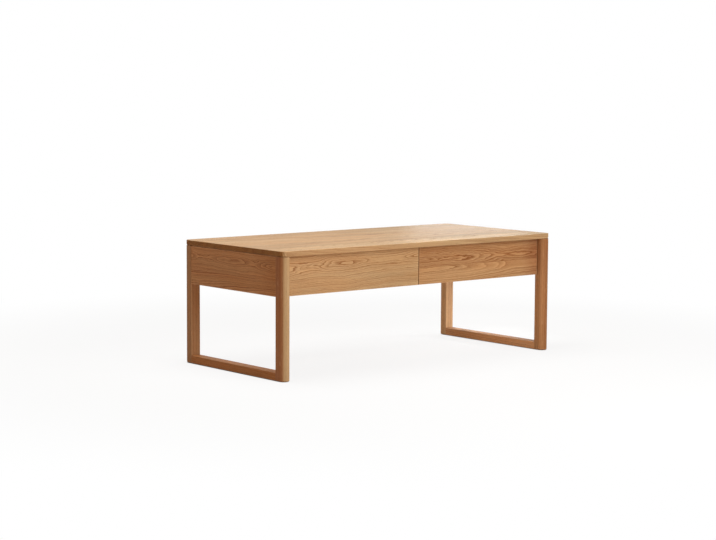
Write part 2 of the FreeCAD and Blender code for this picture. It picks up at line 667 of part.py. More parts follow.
def make_ball_cages(label, side, outside):
    """The cages of a drawer's two slides, inside the case channels or inside the middle channels."""
    half = f"({MIDDLE_HALF} + Sizes.ball_diameter / 2 + Sizes.ball_play)"
    if not outside:
        half = f"({DRAWER_HALF} + Sizes.ball_diameter / 2 + Sizes.ball_play)"
    start = value(f"{SLIDE_FRONT} + (Sizes.slide_length - Sizes.cage_length) / 2")
    rows = []
    for face in (f"{DIVIDER_FACE} + Sizes.ball_inset", f"{LEG_INNER_X} - Sizes.ball_inset"):
        for sign in (-1, 1):
            centre = Vector(side * value(face), 0, value(SLIDE_LEVEL) + sign * value(half))
            rows += ball_row(start, centre)
    group(label, rows)


def screw(place, turn, length):
    """A pan-head screw whose head sits on a place, with its shank along the turn."""
    head_height = value("Sizes.screw_head_height")
    shank = Part.makeCylinder(value("Sizes.screw_diameter / 2"), length)
    head = Part.makeCylinder(value("Sizes.screw_head / 2"), head_height, Vector(0, 0, -head_height))
    solid = head.fuse(shank).removeSplitter()
    solid.Placement = Placement(place, TURNS[turn])
    return solid


def shifted(place, way, distance):
    """A place moved by a distance along one of the ways."""
    along, aside = WAY_AXIS[way]
    return place + Vector(along, aside, 0) * distance


def make_slide_screws():
    """Screws through the channels' webs: case channels into the case, drawer channels into the sides."""
    bite, gauge = value("Sizes.screw_bite"), value("Sizes.slide_gauge")
    length = bite + gauge - value("Sizes.screw_room")
    case = []
    for name, side in SIDES.items():
        drawer = []
        for inner in (True, False):
            into_case = "-x" if (side > 0) == inner else "+x"
            into_drawer = BACKWARDS[into_case]
            case += [screw(shifted(point(place), into_drawer, gauge), into_case, length)
                     for place in slide_screws(side, inner)]
            drawer += [screw(shifted(point(place), into_case, gauge), into_drawer, length)
                       for place in box_screws(side, inner)]
        group(f"{name}_drawer_channel_screws", drawer)
    group("case_channel_screws", case)


def make_frame_screws():
    """Screws of the battens, the front top rail and the drawer fronts."""
    bite, sink, room = value("Sizes.screw_bite"), value("Sizes.sink_depth"), value("Sizes.screw_room")
    batten_length = value(f"{PANEL_INNER} - {LEG_INNER_X}") - sink + bite
    battens = []
    for name, side in SIDES.items():
        outwards = "+x" if side > 0 else "-x"
        battens += [screw(shifted(point(place), outwards, sink), outwards, batten_length)
                    for place in batten_screws(side)]
        fronts = [screw(point(place), "-y", value("Sizes.box_wall") + bite) for place in front_screws(side)]
        group(f"{name}_front_screws", fronts)
    group("batten_screws", battens)
    rail_length = value("Sizes.top_rail_thickness") - sink + bite - room
    group("top_rail_screws", [screw(point(place) + Vector(0, 0, sink), "+z", rail_length)
                              for place in rail_screws()])


def make_brackets():
    """Steel angle brackets in the corner under the top, each with a screw into the panel and one up."""
    leg, gauge = value("Sizes.bracket_leg"), value("Sizes.bracket_gauge")
    width, bite = value("Sizes.bracket_width"), value("Sizes.screw_bite")
    hole, middle = value(HOLE_RADIUS), value("(Sizes.bracket_leg + Sizes.bracket_gauge) / 2")
    upright = Part.makeBox(gauge, width, leg, Vector(0, -width / 2, -leg))
    foot = Part.makeBox(leg, width, gauge, Vector(0, -width / 2, -gauge))
    angle = upright.fuse(foot).removeSplitter()
    angle = angle.cut(Part.makeCylinder(hole, 2 * gauge, Vector(-gauge / 2, 0, -middle), Vector(1, 0, 0)))
    angle = angle.cut(Part.makeCylinder(hole, 2 * gauge, Vector(middle, 0, -gauge * 3 / 2)))
    brackets, screws = [], []
    for place, way in bracket_places():
        along, aside = WAY_AXIS[way]
        copy = angle.copy()
        turn = math.degrees(math.atan2(aside, along))
        copy.Placement = Placement(point(place), Rotation(Vector(0, 0, 1), turn))
        brackets.append(copy)
        in_panel = point(bracket_screw(place, way, False))
        in_top = point(bracket_screw(place, way, True))
        screws.append(screw(shifted(in_panel, way, gauge), BACKWARDS[way], gauge + bite))
        screws.append(screw(in_top - Vector(0, 0, gauge), "+z", gauge + bite))
    group("top_brackets", brackets)
    group("bracket_screws", screws)


make_top()
for side_name, side in SIDES.items():
    for end_name, end in (("front", -1), ("rear", 1)):
        make_leg(f"{end_name}_{side_name}_leg", side, end)
        make_pad(f"{end_name}_{side_name}_pad", side, end)
    make_foot_rail(f"{side_name}_foot_rail", side)
    make_end_panel(f"{side_name}_end_panel", side)
    make_batten(f"{side_name}_slide_batten", side)
    make_drawer_front(f"{side_name}_drawer_front", side)
    make_box_end(f"{side_name}_box_front", side, True)
    make_box_end(f"{side_name}_box_back", side, False)
    make_box_bottom(f"{side_name}_box_bottom", side)
    make_box_side(f"{side_name}_box_outer_side", side, False)
    make_box_side(f"{side_name}_box_inner_side", side, True)
    make_slide(side_name, side, "outer", False)
    make_slide(side_name, side, "inner", True)
    make_ball_cages(f"{side_name}_case_ball_cages", side, True)
    make_ball_cages(f"{side_name}_drawer_ball_cages", side, False)
make_rear_panel()
make_top_rail()
make_divider()
make_slide_screws()
make_frame_screws()
make_brackets()

doc.recompute()
failed = [item.Label for item in doc.Objects if {"Invalid", "Error"} & set(item.State)]
failed += [node.Label for node in nodes if node.Shape.isNull() or not node.Shape.isValid()]
if failed:
    raise RuntimeError(f"failed objects: {failed}")
for node in nodes:
    node.Shape.exportStep(f"parts/{node.Label}.step")
print(f"{len(nodes)} nodes")
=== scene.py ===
"""Looks of the oak coffee table: its woods, metals and felt, a pale floor, soft light and the camera.

Metres, in the part's own frame: X along the table, Y from the front to the back, Z up from the floor.
Every wood is one node group, a log of growth rings cut by the board, placed with its own values.
The slide channels, brackets and screws are made anew, with the rolled, bent and threaded forms that
their plain solids leave out.
"""

import bmesh
import bpy
import json
import math
import numpy as np

from mathutils import Matrix, Vector


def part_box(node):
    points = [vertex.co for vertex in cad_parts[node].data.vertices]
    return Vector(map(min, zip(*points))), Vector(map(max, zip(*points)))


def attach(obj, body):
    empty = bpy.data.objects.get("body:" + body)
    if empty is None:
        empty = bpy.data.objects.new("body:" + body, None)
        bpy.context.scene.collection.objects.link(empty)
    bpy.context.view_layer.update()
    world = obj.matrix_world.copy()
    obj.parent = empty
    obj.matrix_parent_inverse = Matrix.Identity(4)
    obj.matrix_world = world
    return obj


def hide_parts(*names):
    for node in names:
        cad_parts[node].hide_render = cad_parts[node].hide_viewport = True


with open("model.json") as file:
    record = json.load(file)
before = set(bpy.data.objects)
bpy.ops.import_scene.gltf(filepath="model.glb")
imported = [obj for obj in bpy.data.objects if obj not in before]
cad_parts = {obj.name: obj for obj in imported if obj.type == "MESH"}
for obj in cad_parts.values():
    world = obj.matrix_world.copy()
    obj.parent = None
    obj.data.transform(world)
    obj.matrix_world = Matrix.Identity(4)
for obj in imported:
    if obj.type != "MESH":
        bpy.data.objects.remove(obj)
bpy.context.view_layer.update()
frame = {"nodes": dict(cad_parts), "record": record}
nodes = frame["nodes"]
scene = bpy.context.scene

AXES = {"x": Vector((1, 0, 0)), "y": Vector((0, 1, 0)), "z": Vector((0, 0, 1))}
WHITE = (1, 1, 1, 1)


# nodes of shaders
def connect(tree, socket, source):
    """Links a socket to another one, or gives it a plain value."""
    if isinstance(source, bpy.types.NodeSocket):
        tree.links.new(source, socket)
    else:
        socket.default_value = source


def add(tree, kind, inputs=None, **settings):
    """A new node, with its settings and with the named inputs linked or set."""
    node = tree.nodes.new(f"ShaderNode{kind}")
    for name, setting in settings.items():
        setattr(node, name, setting)
    for name, source in (inputs or {}).items():
        connect(tree, node.inputs[name], source)
    return node


def calc(tree, operation, *sources):
    """One step of arithmetic on values."""
    node = add(tree, "Math", operation=operation)
    for place, source in enumerate(sources):
        connect(tree, node.inputs[place], source)
    return node.outputs[0]


def plus(tree, first, *others):
    """The sum of values, added one after another."""
    for other in others:
        first = calc(tree, "ADD", first, other)
    return first


def minus(tree, first, second):
    """The first value less the second."""
    return calc(tree, "SUBTRACT", first, second)


def times(tree, first, second):
    """The product of two values."""
    return calc(tree, "MULTIPLY", first, second)


def centred(tree, source):
    """A value from 0 to 1 moved to lie about 0."""
    return minus(tree, source, 0.5)


def ramp(tree, source, low, high):
    """0 below low, 1 above high, and a smooth step between them."""
    node = add(tree, "MapRange", {"Value": source, "From Min": low, "From Max": high},
               interpolation_type="SMOOTHSTEP")
    return node.outputs[0]


def span(tree, source, low, high):
    """A value from 0 to 1 stretched to the range from low to high."""
    return add(tree, "MapRange", {"Value": source, "To Min": low, "To Max": high}).outputs[0]


def blend(tree, factor, first, second):
    """Two values blended by a factor."""
    return add(tree, "Mix", {0: factor, 2: first, 3: second}).outputs[0]


def mix(tree, factor, first, second, blend_type="MIX"):
    """Two colours blended by a factor."""
    node = add(tree, "Mix", data_type="RGBA", blend_type=blend_type)
    for place, source in ((0, factor), (6, first), (7, second)):
        connect(tree, node.inputs[place], source)
    return node.outputs[2]


def toned(tree, color, tint):
    """A colour times a tint."""
    return mix(tree, 1.0, color, tint, "MULTIPLY")


def axis_parts(tree, vector):
    """The three parts of a vector."""
    return add(tree, "SeparateXYZ", {0: vector}).outputs


def color_parts(tree, color):
    """The three parts of a colour, which noise uses for three separate values."""
    return add(tree, "SeparateColor", {0: color}).outputs


def stretched_noise(tree, place, stretch, shift, detail=2.0, roughness=0.5):
    """Soft noise drawn out along the axes: a stretch of 20 means about 20 humps in a metre."""
    scaled = add(tree, "VectorMath", {0: place, 1: stretch, 2: shift}, operation="MULTIPLY_ADD").outputs[0]
    inputs = {"Vector": scaled, "Scale": 1.0, "Detail": detail, "Roughness": roughness}
    return add(tree, "TexNoise", inputs)


def new_group(name, inputs, outputs):
    """An empty node group with the named sockets, given as (name, kind, value)."""
    tree = bpy.data.node_groups.new(name, "ShaderNodeTree")
    for label, kind, value in inputs:
        socket = tree.interface.new_socket(label, in_out="INPUT", socket_type=f"NodeSocket{kind}")
        socket.default_value = value
    for label, kind in outputs:
        tree.interface.new_socket(label, in_out="OUTPUT", socket_type=f"NodeSocket{kind}")
    return tree, tree.nodes.new("NodeGroupInput").outputs, tree.nodes.new("NodeGroupOutput").inputs


def use_group(tree, group, inputs):
    """The outputs of a node group placed in a tree with its inputs linked or set."""
    node = tree.nodes.new("ShaderNodeGroup")
    node.node_tree = group
    for name, source in inputs.items():
        connect(tree, node.inputs[name], source)
    return node.outputs


def new_material(name):
    """A material with its shader, and the outputs of its coordinates."""
    material = bpy.data.materials.new(name)
    material.use_nodes = True
    tree = material.node_tree
    shader = tree.nodes["Principled BSDF"]
    return material, tree, shader, tree.nodes.new("ShaderNodeTexCoord").outputs


def emboss(tree, shader, height, strength, distance):
    """Gives a shader the fine relief of a height."""
    bump = add(tree, "Bump", {"Strength": strength, "Distance": distance, "Height": height})
    connect(tree, shader.inputs["Normal"], bump.outputs[0])


# the log: how it varies from stave to stave and from ring to ring, as stretches of noise and as shares
STAVE_STEP = 3.7
SLOPE_VARIETY = 3.0
STAVE_TONES = 0.14
WANDER_STRETCH = (5, 22, 22)
RIPPLE_STRETCH = (17, 48, 48)
RIPPLE_SHARE = 0.35
YEARS_SCALE = 0.35
YEARS_VARIETY = 2.5
RING_STRENGTH = (0.35, 1.0)
RING_FADE = 1.5
RING_ONSET = (0.8, 1.0)
ONSET_SHARE = 0.6

# its pores, flecks, glue lines and colours
PORE_STRETCH = (95, 1150, 1150)
PORE_EDGE = (0.56, 0.66)
PORES_BY_AGE = (0.25, 1.0)
PORE_SHARE = 0.5
PORE_TINT = (0.55, 0.5, 0.45, 1)
FLECK_STRETCH = (24, 330, 60)
FLECK_EDGE = (0.62, 0.72)
FLECK_SHARE = 0.12
FLECK_COLOR = (0.72, 0.5, 0.3, 1)
TONE_STRETCH = (3.2, 24, 24)
WARM_EDGE = (0.3, 0.7)
WARM_TINT = (1.0, 0.955, 0.9, 1)
COOL_TINT = (0.985, 1.03, 1.06, 1)
GLUE_WIDTH = 0.0006
GLUE_SHARE = 0.35
END_EDGE = (0.55, 0.9)
END_GRAIN_TINT = (0.66, 0.48, 0.30, 1)

# its lacquer
LACQUER_ROUGHNESS = 0.5
PORE_ROUGHNESS = 0.2
END_ROUGHNESS = 0.12
PORE_DEPTH = 0.7
EARLY_DEPTH = 0.3


def make_log():
    """Wood cut from a log of growth rings.

    The vector runs along the grain, across the face and into the board. The board is glued up from
    staves, each from its own place in the log. A ring's radius is the distance from the pith, a line
    behind the face that slopes away from it along the grain and swells to and fro, so the rings show as
    nested arches on the face and as arcs on the end grain. Each ring starts dark and open-pored and fades
    to smooth wood.
    """
    tree, given, out = new_group("log", [
        ("Vector", "Vector", (0, 0, 0)), ("Normal", "Vector", (0, 0, 1)),
        ("Pale", "Color", (0.56, 0.32, 0.155, 1)), ("Dark", "Color", (0.33, 0.15, 0.06, 1)),
        ("Stave Width", "Float", 10.0), ("Stave Shift", "Float", 0.5), ("Stave Variety", "Float", 0.0),
        ("Pith Across", "Float", 0.0), ("Pith Lean", "Float", 0.0), ("Pith Depth", "Float", 0.05),
        ("Pith Slope", "Float", 0.1), ("Swell", "Float", 0.0), ("Swell Length", "Float", 0.33),
        ("Swell Start", "Float", 0.0), ("Ring Width", "Float", 0.005), ("Waviness", "Float", 0.006),
        ("Figure", "Float", 0.7), ("Streaks", "Float", 0.16), ("Seed", "Float", 0.0),
    ], [("Color", "Color"), ("Roughness", "Float"), ("Height", "Float"), ("End", "Float")])
    place = given["Vector"]
    stave_width = given["Stave Width"]
    variety = given["Stave Variety"]
    waviness = given["Waviness"]
    along, across, deep = axis_parts(tree, place)

    # the stave that a point lies in, and what it draws by chance
    stave_place = plus(tree, calc(tree, "DIVIDE", across, stave_width), given["Stave Shift"])
    stave = calc(tree, "FLOOR", stave_place)
    in_stave = centred(tree, calc(tree, "FRACT", stave_place))
    stave_middle = times(tree, minus(tree, stave, centred(tree, given["Stave Shift"])), stave_width)
    stave_key = plus(tree, times(tree, stave, STAVE_STEP), given["Seed"])
    drawn = add(tree, "TexWhiteNoise", {"W": stave_key}, noise_dimensions="1D").outputs["Color"]
    draws = [times(tree, centred(tree, draw), variety) for draw in color_parts(tree, drawn)]
    shift = add(tree, "CombineXYZ", {0: stave_key, 1: stave_key, 2: given["Seed"]}).outputs[0]

    # the pith's line
    off_middle = plus(tree, given["Pith Across"], times(tree, draws[0], stave_width))
    off_middle = plus(tree, off_middle, times(tree, stave_middle, variety))
    pith_across = plus(tree, off_middle, times(tree, given["Pith Lean"], along))
    pith_depth = times(tree, given["Pith Depth"], plus(tree, 1.0, draws[1]))
    steeper = plus(tree, 1.0, times(tree, draws[2], SLOPE_VARIETY))
    pith_slope = times(tree, given["Pith Slope"], steeper)
    waves = calc(tree, "DIVIDE", minus(tree, along, given["Swell Start"]), given["Swell Length"])
    swell = times(tree, calc(tree, "SINE", times(tree, waves, math.tau)), given["Swell"])
    pith_level = plus(tree, pith_depth, times(tree, pith_slope, along), swell)

    # the ring that a point lies in, and how early in the year it grew
    wander = stretched_noise(tree, place, WANDER_STRETCH, shift, 3.0, 0.55).outputs["Color"]
    sway, heave, _ = [times(tree, centred(tree, part), waviness) for part in color_parts(tree, wander)]
    ripple = stretched_noise(tree, place, RIPPLE_STRETCH, shift, 2.0).outputs[0]
    ripple = times(tree, centred(tree, ripple), times(tree, waviness, RIPPLE_SHARE))
    from_pith = plus(tree, minus(tree, across, pith_across), sway)
    behind = plus(tree, deep, pith_level, heave)
    squares = plus(tree, times(tree, from_pith, from_pith), times(tree, behind, behind))
    radius = calc(tree, "SQRT", squares)
    count = calc(tree, "DIVIDE", plus(tree, radius, ripple), given["Ring Width"])
    years = {"W": plus(tree, count, stave_key), "Scale": YEARS_SCALE}
    good_years = add(tree, "TexNoise", years, noise_dimensions="1D").outputs[0]
    count = plus(tree, count, times(tree, good_years, YEARS_VARIETY))
    ring = calc(tree, "FLOOR", count)
    age = minus(tree, count, ring)
    ring_key = plus(tree, ring, stave_key)
    strength = add(tree, "TexWhiteNoise", {"W": ring_key}, noise_dimensions="1D").outputs["Value"]
    strength = span(tree, strength, *RING_STRENGTH)
    fade = calc(tree, "POWER", minus(tree, 1.0, age), RING_FADE)
    onset = times(tree, ramp(tree, age, *RING_ONSET), ONSET_SHARE)
    early = times(tree, calc(tree, "MAXIMUM", fade, onset), strength)

    # pores, flecks and the slow drift of tone
    dashes = stretched_noise(tree, place, PORE_STRETCH, shift, 1.0).outputs[0]
    pores = times(tree, ramp(tree, dashes, *PORE_EDGE), span(tree, early, *PORES_BY_AGE))
    rays = stretched_noise(tree, place, FLECK_STRETCH, shift, 1.0).outputs[0]
    flecks = ramp(tree, rays, *FLECK_EDGE)
    drift = stretched_noise(tree, place, TONE_STRETCH, shift, 3.0, 0.6).outputs["Color"]
    tone, warmth, _ = color_parts(tree, drift)

    # colour of the face
    color = mix(tree, times(tree, early, given["Figure"]), given["Pale"], given["Dark"])
    color = mix(tree, times(tree, pores, PORE_SHARE), color, toned(tree, given["Dark"], PORE_TINT))
    color = mix(tree, times(tree, flecks, FLECK_SHARE), color, FLECK_COLOR)
    warmer = toned(tree, color, WARM_TINT)
    color = mix(tree, ramp(tree, warmth, *WARM_EDGE), warmer, toned(tree, color, COOL_TINT))
    streak = times(tree, centred(tree, tone), times(tree, given["Streaks"], 2.0))
    lightness = plus(tree, streak, 1.0, times(tree, draws[1], STAVE_TONES))
    color = toned(tree, color, add(tree, "CombineXYZ", {axis: lightness for axis in range(3)}).outputs[0])
    to_joint = times(tree, minus(tree, 0.5, calc(tree, "ABSOLUTE", in_stave)), stave_width)
    glue = minus(tree, 1.0, ramp(tree, to_joint, 0.0, GLUE_WIDTH))
    color = mix(tree, times(tree, glue, GLUE_SHARE), color, given["Dark"])

    # end grain, roughness and relief
    along_grain = calc(tree, "ABSOLUTE", axis_parts(tree, given["Normal"])[0])
    end = ramp(tree, along_grain, *END_EDGE)
    rougher = plus(tree, times(tree, pores, PORE_ROUGHNESS), times(tree, end, END_ROUGHNESS))
    sunk = plus(tree, times(tree, pores, PORE_DEPTH), times(tree, early, EARLY_DEPTH))
    connect(tree, out["Color"], mix(tree, end, color, toned(tree, color, END_GRAIN_TINT)))
    connect(tree, out["Roughness"], plus(tree, LACQUER_ROUGHNESS, rougher))
    connect(tree, out["Height"], minus(tree, 1.0, sunk))
    connect(tree, out["End"], end)
    return tree


# the band along the edges that is made paler: partly rubbed wear, partly a painted highlight
WEAR_AND_HIGHLIGHT_STRETCH = (40, 40, 40)
WEAR_AND_HIGHLIGHT_SHIFT = (3, 1, 7)
WEAR_AND_HIGHLIGHT_REACH = (0.3, 1.7)


def make_edge_wear_and_highlight():
    """Edges of a box-shaped piece: the middle one of the three distances to its faces is small there. The
    mask lays both rubbed wear and a painted highlight along the edges.
    """
    tree, given, out = new_group("edge_wear_and_highlight", [
        ("Vector", "Vector", (0, 0, 0)), ("Half Size", "Vector", (1, 1, 1)), ("Width", "Float", 0.004),
    ], [("Wear And Highlight", "Float")])
    inside = add(tree, "VectorMath", {0: given["Vector"]}, operation="ABSOLUTE").outputs[0]
    gaps = add(tree, "VectorMath", {0: given["Half Size"], 1: inside}, operation="SUBTRACT").outputs[0]
    x, y, z = axis_parts(tree, gaps)
    least = calc(tree, "MINIMUM", x, y)
    most = calc(tree, "MAXIMUM", x, y)
    middle = calc(tree, "MAXIMUM", least, calc(tree, "MINIMUM", most, z))
    uneven = stretched_noise(tree, given["Vector"], WEAR_AND_HIGHLIGHT_STRETCH, WEAR_AND_HIGHLIGHT_SHIFT).outputs[0]
    reach = times(tree, given["Width"], span(tree, uneven, *WEAR_AND_HIGHLIGHT_REACH))
    share = calc(tree, "DIVIDE", middle, reach)
    connect(tree, out["Wear And Highlight"], minus(tree, 1.0, ramp(tree, share, 0.0, 1.0)))
    return tree


LOG = make_log()
EDGE_WEAR_AND_HIGHLIGHT = make_edge_wear_and_highlight()

OAK_PALE = (0.575, 0.335, 0.162, 1)
OAK_DARK = (0.25, 0.09, 0.028, 1)
INNER_PALE = (0.66, 0.47, 0.28, 1)
INNER_DARK = (0.47, 0.29, 0.15, 1)
SHARP_FADE = 0.0002
# the paler edge band: partly rubbed wear, partly a painted highlight along the arrises
WORN_AND_HIGHLIGHT_TINT = (1.24, 1.38, 1.58)
RUBBED_AND_HIGHLIGHT_WIDTH = 0.004
RUBBED_AND_HIGHLIGHT_SHARE = 0.3
RUBBED_SHINE = 0.08
WEAR_AND_HIGHLIGHT_OFF_FACE = 0.45
WEAR_AND_HIGHLIGHT_ON_END = 0.3
OAK_SHEEN = 0.12
GRAIN_STRENGTH = 0.35
GRAIN_RELIEF = 0.0003


def board_turn(grain, across):
    """The turn from the pattern's axes (along, across, deep) to the named axes of the table."""
    along, over = AXES[grain], AXES[across]
    return Matrix((along, over, along.cross(over))).transposed().to_euler()


def on_board(tree, vector, turn, middle=(0, 0, 0)):
    """A vector of the table in the pattern's axes, from the board's middle."""
    inputs = {"Vector": vector, "Location": middle, "Rotation": turn}
    return add(tree, "Mapping", inputs, vector_type="TEXTURE").outputs[0]


def tinted(color, tint):
    """A colour with each of its parts taken up or down by the tint's share."""
    return [part * share for part, share in zip(color, tint)] + [1]


def wood(node, grain, across, boards, pale=OAK_PALE, dark=OAK_DARK, split=0.0, fade=SHARP_FADE, drift=None):
    """A wood finish for one piece, from one board or from two that meet at the split, sharply or in a fade.

    Each board is a tint and its values for the log. A drift is two places along the grain and a tint that the
    wood takes on from the first to the second; on the top and on the right drawer front it is painted shade.
    The edges are rubbed paler, partly wear and partly a painted highlight along the arrises, most of all on
    the face of the board and least on its end grain.
    """
    material, tree, shader, coords = new_material(f"{node}_wood")
    low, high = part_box(node)
    turn = board_turn(grain, across)
    place = on_board(tree, coords["Object"], turn, (low + high) / 2)
    facing = on_board(tree, coords["Normal"], turn)
    place_along, place_across, _ = axis_parts(tree, place)
    looks = []
    for tint, log in boards:
        inputs = {"Vector": place, "Normal": facing, "Pale": tinted(pale, tint), "Dark": tinted(dark, tint)}
        looks.append(use_group(tree, LOG, {**inputs, **log}))
    color, roughness, height, end = looks[0]
    if len(looks) > 1:
        upper = ramp(tree, place_across, split - fade, split + fade)
        color = mix(tree, upper, looks[1]["Color"], color)
        roughness = blend(tree, upper, looks[1]["Roughness"], roughness)
        height = blend(tree, upper, looks[1]["Height"], height)
    if drift:
        start, stop, tint = drift
        color = mix(tree, ramp(tree, place_along, start, stop), color, toned(tree, color, (*tint, 1)))

    third = (set(AXES) - {grain, across}).pop()
    half = [abs((high - low).dot(AXES[axis])) / 2 for axis in (grain, across, third)]
    wear_and_highlight = use_group(tree, EDGE_WEAR_AND_HIGHLIGHT, {"Vector": place, "Half Size": half, "Width": RUBBED_AND_HIGHLIGHT_WIDTH})["Wear And Highlight"]
    on_face = calc(tree, "ABSOLUTE", axis_parts(tree, facing)[2])
    wear_and_highlight = times(tree, wear_and_highlight, span(tree, on_face, WEAR_AND_HIGHLIGHT_OFF_FACE, 1.0))
    wear_and_highlight = times(tree, wear_and_highlight, span(tree, end, 1.0, WEAR_AND_HIGHLIGHT_ON_END))
    # the edge band turns paler: rubbed wear together with a painted highlight along the arrises
    color = mix(tree, times(tree, wear_and_highlight, RUBBED_AND_HIGHLIGHT_SHARE), color, tinted(pale, WORN_AND_HIGHLIGHT_TINT))
    connect(tree, shader.inputs["Base Color"], color)
    connect(tree, shader.inputs["Roughness"], minus(tree, roughness, times(tree, wear_and_highlight, RUBBED_SHINE)))
    shader.inputs["Specular IOR Level"].default_value = OAK_SHEEN
    emboss(tree, shader, height, GRAIN_STRENGTH, GRAIN_RELIEF)
    nodes[node].data.materials[0] = material


# oak that shows
EVEN = (1, 1, 1)
TOP_LOG = {"Stave Width": 0.11, "Stave Variety": 1.0, "Pith Depth": 0.075, "Pith Slope": 0.05,
           "Ring Width": 0.0045, "Figure": 0.75, "Streaks": 0.34, "Seed": 4.0}
# the top's front stave is paler and cooler: partly its own tone, partly a painted sheen along the front edge
wood("table_top", "x", "y", [((1.0, 1.08, 1.12), TOP_LOG), ((1.2, 1.4, 1.53), TOP_LOG)],
     # the drift darkens the top towards its right end: painted shade
     split=-0.19, fade=0.035, drift=(-0.15, 0.3, (0.92, 0.97, 1.0)))
wood("left_drawer_front", "x", "z", [((1.113, 1.21, 1.257), {
    "Pith Across": 0.03, "Pith Lean": 0.025, "Pith Depth": 0.005, "Pith Slope": 0.0, "Swell": 0.006,
    "Swell Length": 0.34, "Swell Start": 0.05, "Ring Width": 0.0034, "Waviness": 0.02, "Figure": 1.1,
    "Seed": 11.0})], drift=(-0.27, 0.27, (0.9, 0.94, 0.96)))
wood("right_drawer_front", "x", "z", [
    ((0.86, 0.82, 0.76), {
        "Pith Across": 0.02, "Pith Depth": 0.005, "Pith Slope": 0.05, "Swell": 0.005, "Swell Length": 0.3,
        "Swell Start": 0.03, "Ring Width": 0.004, "Waviness": 0.022, "Figure": 1.4, "Seed": 28.0}),
    ((0.95, 0.95, 0.91), {
        "Pith Across": -0.014, "Pith Depth": 0.012, "Pith Slope": 0.06, "Swell": 0.004, "Swell Length": 0.45,
        "Swell Start": 0.04, "Ring Width": 0.006, "Waviness": 0.015, "Figure": 1.0, "Seed": 22.0})],
    # the drift darkens and warms its right end beside the leg: painted shade of the leg
    split=-0.006, drift=(0.19, 0.275, (0.78, 0.66, 0.64)))

# each leg, with light and shade painted into its colour: the axis across its boards, the place and width of
# the change between them, and their tints, darker on the faces in shade and paler, with a painted sheen, on
# the lit faces
LEG_LIGHT_AND_SHADE = {
    "front_left": ("x", -0.013, 0.005, [(1.02, 1.15, 1.22), (0.82, 0.6, 0.51)]),
    "rear_left": ("x", 0.0, 0.007, [(0.87, 0.79, 0.75)]),
    "front_right": ("x", -0.012, 0.007, [(0.63, 0.49, 0.39), (0.83, 0.74, 0.68)]),
    "rear_right": ("y", 0.0, 0.007, [(1.14, 1.23, 1.36)]),
}
LEG_LOG = {"Pith Across": 0.07, "Pith Depth": 0.05, "Pith Slope": 0.015, "Ring Width": 0.0035, "Figure": 0.6}
RAIL_LOG = {"Pith Across": 0.06, "Pith Depth": 0.06, "Pith Slope": 0.02, "Ring Width": 0.004, "Figure": 0.5}
# the rails' tints paint light and shade: the left rail darker and warmer as painted shade, the right rail
# paler as painted light
RAIL_LIGHT_AND_SHADE_TINTS = {"left": (0.95, 0.68, 0.44), "right": (1.15, 1.03, 0.99)}
END_TINT = (1.25, 1.1, 1.0)
for side, seed in (("left", 31.0), ("right", 35.0)):
    wood(f"{side}_end_panel", "y", "z", [
        (END_TINT, {"Pith Across": 0.032, "Pith Depth": 0.022, "Pith Slope": 0.01, "Swell": 0.006,
                    "Swell Length": 0.28, "Swell Start": 0.09, "Ring Width": 0.0036, "Waviness": 0.02,
                    "Figure": 1.2, "Seed": seed}),
        (END_TINT, {"Pith Across": -0.075, "Pith Depth": 0.05, "Pith Slope": 0.03, "Ring Width": 0.003,
                    "Waviness": 0.01, "Figure": 1.2, "Seed": seed + 1})],
        split=-0.015, drift=(-0.085, -0.25, (0.88, 0.8, 0.7)))
    wood(f"{side}_foot_rail", "y", "z", [(RAIL_LIGHT_AND_SHADE_TINTS[side], {**RAIL_LOG, "Seed": seed + 2})])
    for end, step in (("front", 7), ("rear", 9)):
        across, split, fade, tints = LEG_LIGHT_AND_SHADE[f"{end}_{side}"]
        boards = [(tint, {**LEG_LOG, "Seed": seed + step}) for tint in tints]
        wood(f"{end}_{side}_leg", "z", across, boards, split=split, fade=fade)
wood("rear_panel", "x", "z", [
    (EVEN, {"Pith Across": 0.03, "Pith Depth": 0.035, "Pith Slope": 0.02, "Swell": 0.007,
            "Swell Length": 0.45, "Ring Width": 0.0033, "Waviness": 0.014, "Seed": 41.0}),
    (EVEN, {"Pith Across": -0.09, "Pith Depth": 0.05, "Pith Slope": -0.03, "Ring Width": 0.004,
            "Seed": 42.0})],
    split=0.004)

# paler wood inside, sawn or, for the bottoms, peeled
INNER = {"Pith Across": 0.1, "Pith Depth": 0.06, "Pith Slope": 0.03, "Ring Width": 0.004, "Figure": 0.5}
PEELED = {"Pith Across": 0.05, "Pith Depth": 0.5, "Pith Slope": 0.03, "Ring Width": 0.007, "Waviness": 0.06,
          "Figure": 0.45, "Streaks": 0.1}
BOX_GRAINS = {"slide_batten": "y", "box_front": "x", "box_back": "x", "box_outer_side": "y",
              "box_inner_side": "y"}


def inner_wood(node, grain, across, log, seed):
    """The finish of one piece inside, from a single board."""
    wood(node, grain, across, [(EVEN, {**log, "Seed": seed})], INNER_PALE, INNER_DARK)


inner_wood("front_top_rail", "x", "y", INNER, 51.0)
inner_wood("centre_divider", "y", "z", INNER, 52.0)
for side, seed in (("left", 60.0), ("right", 70.0)):
    for step, (piece, grain) in enumerate(BOX_GRAINS.items()):
        inner_wood(f"{side}_{piece}", grain, "z", INNER, seed + step)
    inner_wood(f"{side}_box_bottom", "x", "y", PEELED, seed + len(BOX_GRAINS))


# steel and felt
CLOUD_STRETCH = (30, 12, 30)
CLOUD_SHIFT = (1, 5, 2)
STREAK_SHIFT = (4, 2, 9)
CLOUD_EDGE = (0.3, 0.7)
DULL_TINT = 0.82
PALE_TINT = 1.12
CLOUD_SHINE = 0.06
STREAK_SHINE = 0.08
STREAK_STRENGTH = 0.15
STREAK_RELIEF = 0.0001


